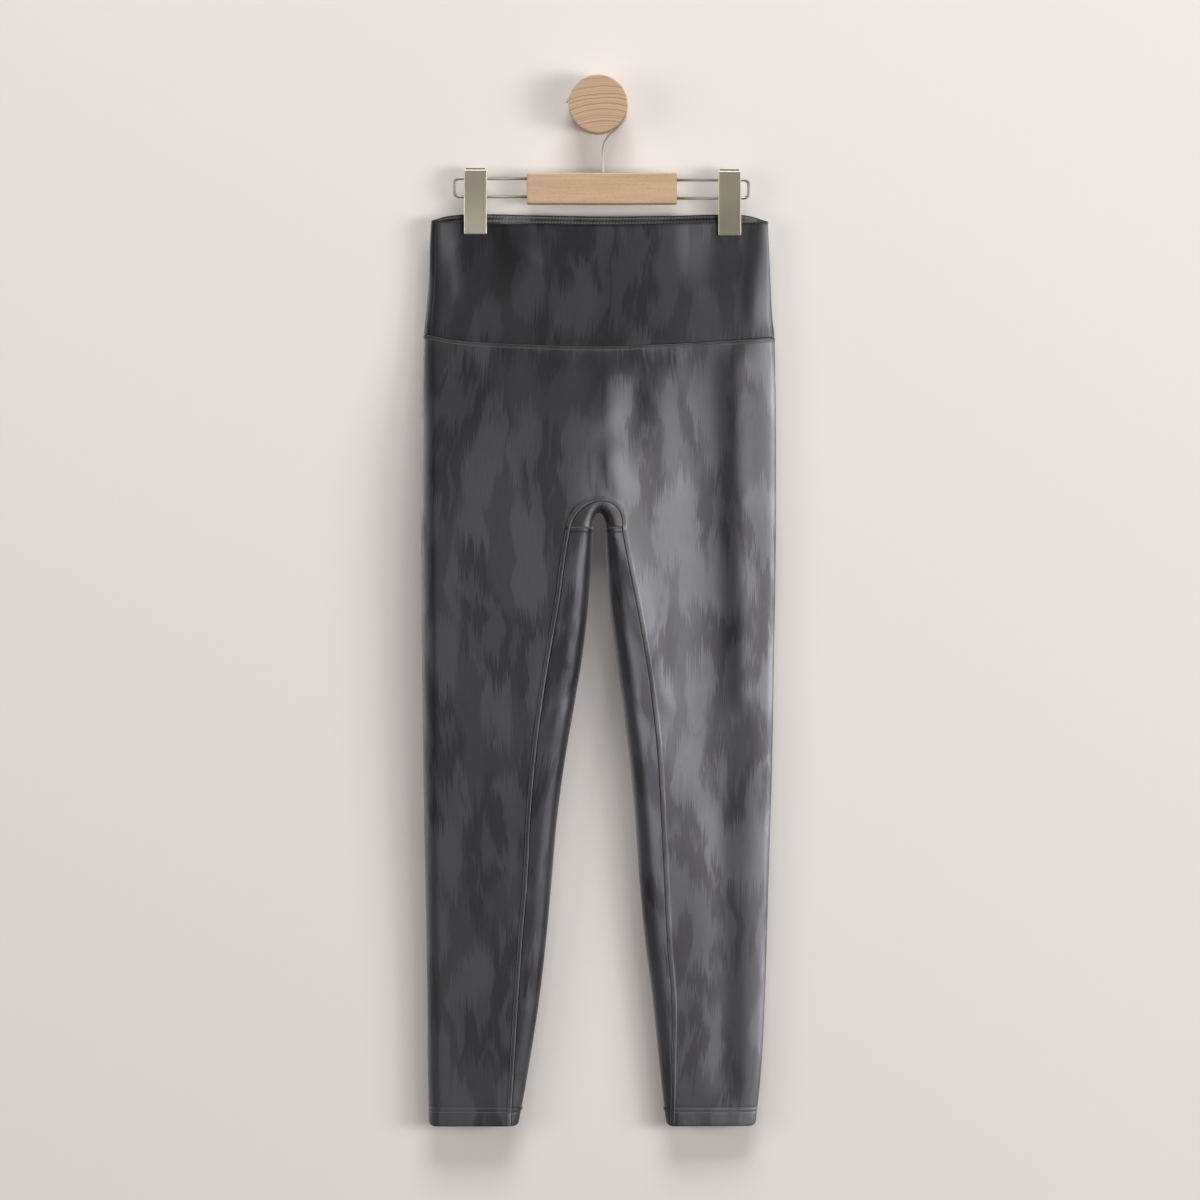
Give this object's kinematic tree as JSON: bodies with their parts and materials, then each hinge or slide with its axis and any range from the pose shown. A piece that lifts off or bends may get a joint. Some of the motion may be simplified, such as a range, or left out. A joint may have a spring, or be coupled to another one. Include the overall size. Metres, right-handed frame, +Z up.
{
  "type": "high-waisted leggings on a clip hanger and wall peg",
  "caption": "High-waisted full-length leggings, cut with a wide band, gusset and inner leg panels, clipped flat to a wooden bar hanger on a wall peg.",
  "frame": {"origin": "centre of the peg's back face, where it is fixed to the wall", "axes": "+Z up along the hanging garment, +Y into the wall, +X to the right of someone who faces the wall"},
  "size_m": [0.3908, 0.0576, 1.1548],
  "materials": {
    "legging_cloth": "matt stretch jersey with a soft blotched print in greys",
    "band_cloth": "matt doubled stretch jersey with the same print",
    "bar_wood": "pale beech, satin",
    "peg_wood": "pale end-grain wood, satin",
    "clip_metal": "pale gold plate, satin",
    "rod_metal": "pale gold plate, satin",
    "hook_metal": "pale nickel plate, bright satin",
    "pivot_metal": "dark steel"
  },
  "bodies": {
    "root": {"waistband_front": "band_cloth", "waistband_back": "band_cloth", "main_panel": "legging_cloth", "crotch_gusset": "legging_cloth", "inner_leg_left": "legging_cloth", "inner_leg_right": "legging_cloth", "hanger_bar": "bar_wood", "hanger_hook": "hook_metal", "rod_loop_left": "rod_metal", "rod_loop_right": "rod_metal", "clip_left_front": "clip_metal", "clip_left_back": "clip_metal", "clip_left_pivot": "pivot_metal", "clip_right_front": "clip_metal", "clip_right_back": "clip_metal", "clip_right_pivot": "pivot_metal", "wall_peg": "peg_wood"}
  },
  "joints": []
}
